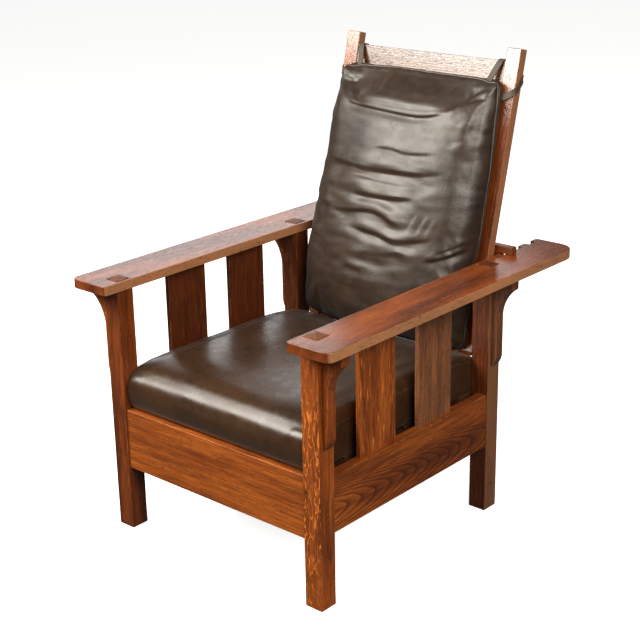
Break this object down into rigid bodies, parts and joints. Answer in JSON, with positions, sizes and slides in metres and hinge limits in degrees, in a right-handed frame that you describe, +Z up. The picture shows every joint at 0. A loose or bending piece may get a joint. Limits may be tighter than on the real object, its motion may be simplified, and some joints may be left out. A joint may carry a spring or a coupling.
{
  "type": "mission reclining armchair",
  "caption": "Square-framed oak armchair with flat through-tenoned arms, a hinged slatted back held by a bar across notched arms, and leather seat and back cushions.",
  "frame": {"origin": "on the floor, under the middle of the arms' length and width", "axes": "+X across the seat to the right as seen from the front, +Y from front to rear, +Z up"},
  "size_m": [0.766, 0.9, 1.0717],
  "materials": {
    "fumed_oak": "quarter-sawn oak, fumed red-brown, satin shellac",
    "seat_frame_wood": "plain sawn, stained dark brown",
    "cushion_leather": "dark brown, worn soft, satin",
    "strap_leather": "grey-brown, stitched",
    "hinge_brass": "aged",
    "screw_steel": "aged"
  },
  "bodies": {
    "root": {"cleat_screws": "screw_steel", "deck_slat_1": "seat_frame_wood", "deck_slat_2": "seat_frame_wood", "deck_slat_3": "seat_frame_wood", "deck_slat_4": "seat_frame_wood", "deck_slat_5": "seat_frame_wood", "deck_slat_6": "seat_frame_wood", "fixed_leaf_screws": "screw_steel", "front_cleat": "seat_frame_wood", "front_left_corbel": "fumed_oak", "front_left_post": "fumed_oak", "front_rail": "fumed_oak", "front_right_corbel": "fumed_oak", "front_right_post": "fumed_oak", "hinge_rail": "fumed_oak", "left_arm": "fumed_oak", "left_fixed_leaf": "hinge_brass", "left_front_slat": "fumed_oak", "left_hinge_pin": "hinge_brass", "left_rear_slat": "fumed_oak", "left_side_rail": "fumed_oak", "rail_pegs": "fumed_oak", "rear_cleat": "seat_frame_wood", "rear_left_corbel": "fumed_oak", "rear_left_post": "fumed_oak", "rear_rail": "fumed_oak", "rear_right_corbel": "fumed_oak", "rear_right_post": "fumed_oak", "right_arm": "fumed_oak", "right_fixed_leaf": "hinge_brass", "right_front_slat": "fumed_oak", "right_hinge_pin": "hinge_brass", "right_rear_slat": "fumed_oak", "right_side_rail": "fumed_oak", "seat_cushion": "cushion_leather", "seat_frame_front": "seat_frame_wood", "seat_frame_left": "seat_frame_wood", "seat_frame_rear": "seat_frame_wood", "seat_frame_right": "seat_frame_wood"},
    "back": {"back_left_stile": "fumed_oak", "back_right_stile": "fumed_oak", "back_top_rail": "fumed_oak", "back_slat_1": "fumed_oak", "back_slat_2": "fumed_oak", "back_slat_3": "fumed_oak", "back_bottom_rail": "fumed_oak", "left_moving_leaf": "hinge_brass", "right_moving_leaf": "hinge_brass", "moving_leaf_screws": "screw_steel", "back_cushion": "cushion_leather", "left_strap": "strap_leather", "right_strap": "strap_leather"},
    "bar": {"support_bar": "fumed_oak"}
  },
  "joints": [
    {"name": "back_recline", "type": "hinge", "parent": "root", "child": "back", "pos_m": [0, 0.2344, 0.366], "axis": [-1, 0, 0], "range_deg": [0, 19.3]},
    {"name": "bar_shift", "type": "slide", "parent": "root", "child": "bar", "axis": [0, 1, 0], "range_m": [0, 0.106]}
  ],
  "couplings": [
    {"joint": "bar_shift", "follows": "back_recline", "m_per_rad": 0.31463}
  ]
}
